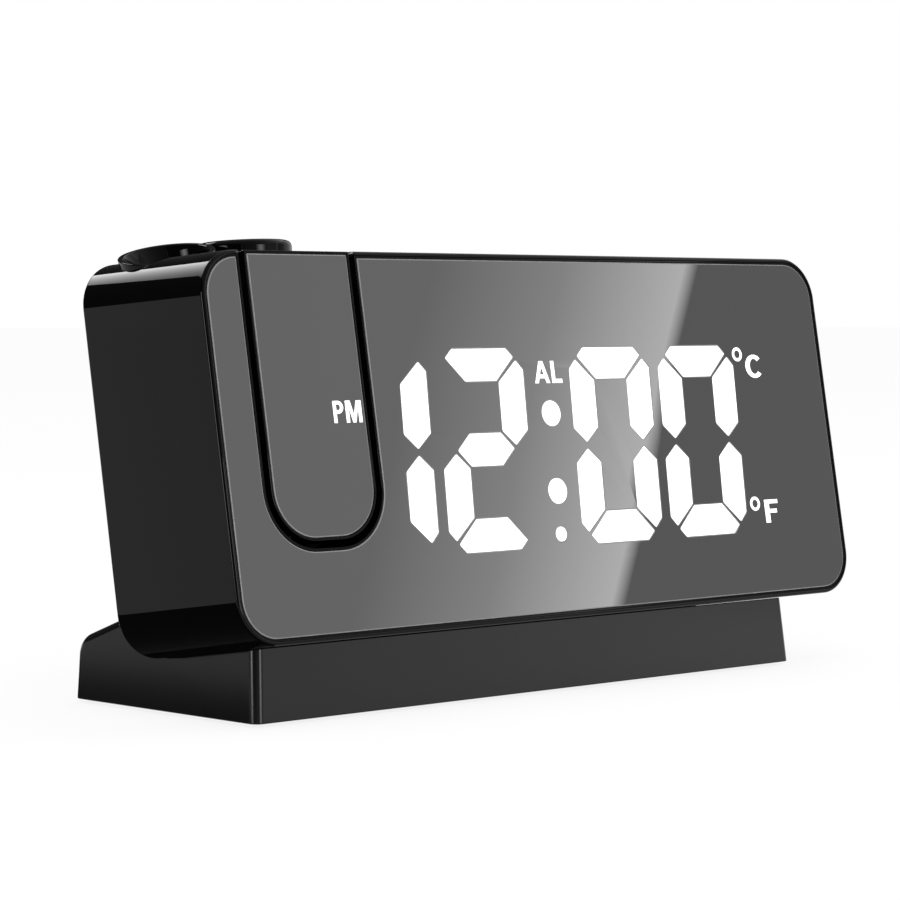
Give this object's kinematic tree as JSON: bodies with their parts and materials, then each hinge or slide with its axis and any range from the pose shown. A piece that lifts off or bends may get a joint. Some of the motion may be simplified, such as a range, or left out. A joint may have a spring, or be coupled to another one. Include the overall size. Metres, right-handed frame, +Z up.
{
  "type": "projection alarm clock",
  "caption": "Wide mirror-faced alarm clock that leans back on a wedge foot, with a fold-up projector arm, a dished snooze button and a dial on top.",
  "frame": {"origin": "bottom centre of the whole object, on the surface that it stands on", "axes": "+X to the right as seen from the front, +Y towards the back, +Z up; the mirror face looks along -Y and leans back 10 degrees"},
  "size_m": [0.19, 0.0708, 0.0999],
  "materials": {
    "case_black": "polished black moulding",
    "foot_black": "polished charcoal moulding",
    "mirror": "grey half mirror",
    "lit_white": "lit white window",
    "mask_white": "white reflector",
    "board": "green laminate",
    "chip": "lamp body",
    "steel": "plated steel",
    "dark_steel": "blackened screw",
    "lens": "clear lens",
    "inner_black": "matt black moulding",
    "pale_plastic": "natural acetal",
    "key_black": "satin black key",
    "rubber": "soft pad",
    "cone": "pressed paper cone",
    "cell": "coin cell can"
  },
  "bodies": {
    "clock": {"housing_shell": "case_black", "front_frame": "case_black", "mirror_panel": "mirror", "digit_windows": "lit_white", "light_mask": "mask_white", "display_board": "board", "led_chips": "chip", "hinge_pin": "steel", "hinge_washers": "pale_plastic", "button_collar": "case_black", "snooze_switch": "board", "switch_bracket": "inner_black", "dial_body": "inner_black", "main_board": "board", "board_posts": "pale_plastic", "key_switches": "inner_black", "usb_socket": "steel", "usb_tongue": "pale_plastic", "power_socket": "inner_black", "socket_board": "board", "speaker": "cone", "coin_cell": "cell", "battery_door": "case_black", "door_screw": "dark_steel", "case_screws": "dark_steel", "foot_shell": "foot_black", "bottom_plate": "inner_black", "rubber_feet": "rubber", "foot_screws": "dark_steel", "anchor_screws": "dark_steel"},
    "projector_arm": {"arm_housing": "case_black", "arm_glass": "mirror", "arm_cover": "case_black", "arm_screws": "dark_steel", "lens_barrel": "inner_black", "slide_holder": "inner_black", "number_slide": "lens", "condenser_lens": "lens", "projector_led": "board", "projection_lens": "lens"},
    "focus": {"focus_ring": "inner_black"},
    "dial": {"dial_knob": "case_black", "dial_shaft": "steel"},
    "snooze": {"snooze_button": "case_black"},
    "key_mode": {"key_mode": "key_black"},
    "key_set": {"key_set": "key_black"},
    "key_up": {"key_up": "key_black"},
    "key_down": {"key_down": "key_black"},
    "key_alarm": {"key_alarm": "key_black"}
  },
  "joints": [
    {"name": "arm_hinge", "type": "hinge", "parent": "clock", "child": "projector_arm", "pos_m": [-0.0686, -0.01714, 0.09031], "axis": [-1, 0, 0], "range_deg": [0, 180]},
    {"name": "focus_turn", "type": "hinge", "parent": "projector_arm", "child": "focus", "pos_m": [-0.0686, -0.0255, 0.03939], "axis": [0, 0.1736, 0.9848], "range_deg": [-60, 60]},
    {"name": "dial_turn", "type": "hinge", "parent": "clock", "child": "dial", "pos_m": [-0.0592, 0.00656, 0.09513], "axis": [0, 0.0691, 0.9976], "range_deg": [-150, 150]},
    {"name": "snooze_press", "type": "slide", "parent": "clock", "child": "snooze", "axis": [0.2079, -0.1007, -0.973], "range_m": [0, 0.001], "stiffness_N_per_m": 500},
    {"name": "key_mode_press", "type": "slide", "parent": "clock", "child": "key_mode", "axis": [0, -0.9848, 0.1736], "range_m": [0, 0.0007], "stiffness_N_per_m": 800},
    {"name": "key_set_press", "type": "slide", "parent": "clock", "child": "key_set", "axis": [0, -0.9848, 0.1736], "range_m": [0, 0.0007], "stiffness_N_per_m": 800},
    {"name": "key_up_press", "type": "slide", "parent": "clock", "child": "key_up", "axis": [0, -0.9848, 0.1736], "range_m": [0, 0.0007], "stiffness_N_per_m": 800},
    {"name": "key_down_press", "type": "slide", "parent": "clock", "child": "key_down", "axis": [0, -0.9848, 0.1736], "range_m": [0, 0.0007], "stiffness_N_per_m": 800},
    {"name": "key_alarm_press", "type": "slide", "parent": "clock", "child": "key_alarm", "axis": [0, -0.9848, 0.1736], "range_m": [0, 0.0007], "stiffness_N_per_m": 800}
  ]
}
